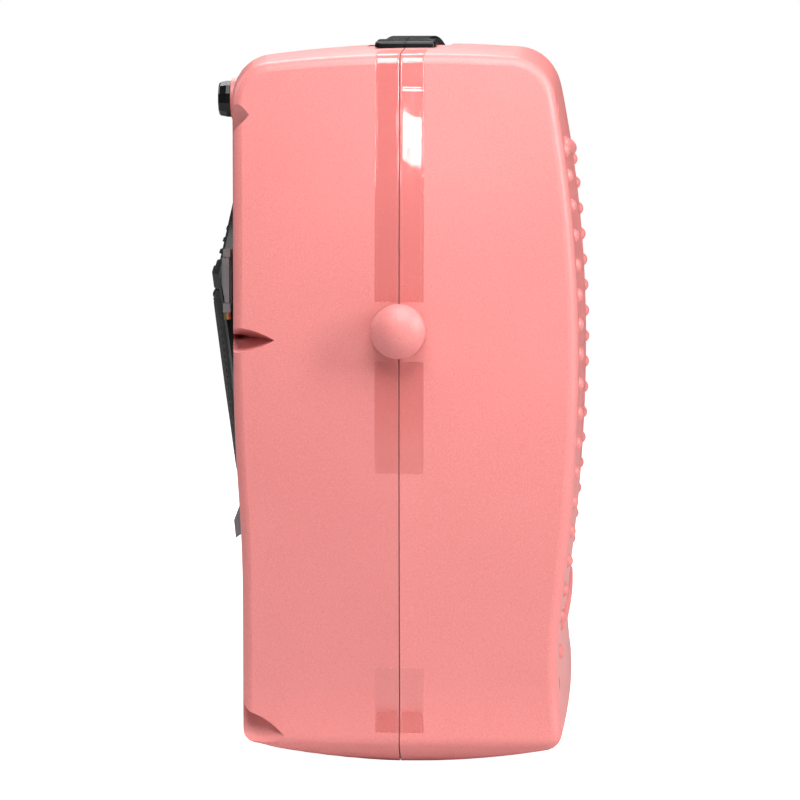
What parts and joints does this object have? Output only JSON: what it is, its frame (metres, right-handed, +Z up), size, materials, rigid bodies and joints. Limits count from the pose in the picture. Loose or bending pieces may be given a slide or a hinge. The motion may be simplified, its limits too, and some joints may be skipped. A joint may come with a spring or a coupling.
{
  "type": "nail dust collector",
  "caption": "Upright two-shell nail dust collector: front intake cover with hand rest, filter, centrifugal fan, rear exhaust, lift-up handle, side studs.",
  "frame": {"origin": "on the flat land of the base, in the parting plane of the two shells, half way across", "axes": "+Z up, -Y the intake side that faces the user, +X the user's right"},
  "size_m": [0.332, 0.1959, 0.357],
  "materials": {
    "pink_shell": "fine spark texture, satin",
    "clear_tape": "clear glossy film",
    "black_gloss": "glossy moulded",
    "black_soft": "soft matt skin",
    "black_plastic": "matt moulded",
    "grey_plastic": "semi gloss",
    "steel": "zinc plated",
    "brass": "turned",
    "aluminium": "perforated sheet",
    "filter_white": "non-woven",
    "rubber_black": "matt",
    "fan_white": "moulded",
    "board_green": "coated laminate",
    "part_dark": "moulded"
  },
  "bodies": {
    "housing": {"front_shell": "pink_shell", "rear_shell": "pink_shell", "shell_screws": "steel", "side_stud_right": "pink_shell", "side_stud_left": "pink_shell", "tape_upper": "clear_tape", "tape_lower": "clear_tape", "rear_studs": "pink_shell", "fan_throat": "grey_plastic", "throat_screws": "steel", "motor": "steel", "motor_plate": "steel", "motor_screws": "steel", "motor_isolators": "rubber_black", "mount_screws": "steel", "exhaust_screen": "aluminium", "control_case": "black_plastic", "control_board": "board_green", "board_screws": "steel", "board_parts": "part_dark", "motor_lead": "part_dark", "power_inlet": "black_plastic", "inlet_pins": "brass", "inlet_screws": "steel", "rocker_bezel": "black_plastic"},
    "handle": {"handle_front_half": "black_gloss", "handle_rear_half": "black_gloss", "handle_posts": "steel", "handle_stops": "steel"},
    "cover": {"cover_frame": "black_gloss", "hand_rest_pad": "black_soft", "intake_grille": "black_gloss", "filter_frame": "grey_plastic", "fore_mat": "filter_white", "filter_pleats": "filter_white", "filter_gasket": "rubber_black", "latch_bracket_right": "grey_plastic", "latch_bracket_left": "grey_plastic", "latch_pin_right": "brass", "latch_pin_left": "brass", "cover_pull_tab": "grey_plastic"},
    "latch_right": {"latch_lever_right": "grey_plastic"},
    "latch_left": {"latch_lever_left": "grey_plastic"},
    "speed_control": {"speed_knob": "black_gloss", "control_shaft": "steel"},
    "rotor": {"fan_wheel": "fan_white", "fan_shaft": "steel", "hub_nut": "steel"},
    "rocker": {"rocker_paddle": "black_plastic"}
  },
  "joints": [
    {"name": "handle_lift", "type": "slide", "parent": "housing", "child": "handle", "axis": [0, 0, 1], "range_m": [0, 0.018]},
    {"name": "cover_pull", "type": "slide", "parent": "housing", "child": "cover", "axis": [0, -1, 0], "range_m": [0, 0.06]},
    {"name": "latch_right_press", "type": "hinge", "parent": "cover", "child": "latch_right", "pos_m": [0.0955, -0.0896, 0.2325], "axis": [0, 0, 1], "range_deg": [0, 12], "stiffness_Nm_per_rad": 0.02},
    {"name": "latch_left_press", "type": "hinge", "parent": "cover", "child": "latch_left", "pos_m": [-0.0955, -0.0896, 0.2325], "axis": [0, 0, -1], "range_deg": [0, 12], "stiffness_Nm_per_rad": 0.02},
    {"name": "speed_turn", "type": "hinge", "parent": "housing", "child": "speed_control", "pos_m": [0.095, -0.09, 0.3225], "axis": [0, -1, 0], "range_deg": [-270, 0]},
    {"name": "fan_spin", "type": "hinge", "parent": "housing", "child": "rotor", "pos_m": [0, 0, 0.205], "axis": [0, 1, 0], "continuous": true},
    {"name": "rocker_tip", "type": "hinge", "parent": "housing", "child": "rocker", "pos_m": [-0.14361, 0.04186, 0.10409], "axis": [-0.0359, 0.0022, 0.9994], "range_deg": [-8, 8]}
  ]
}
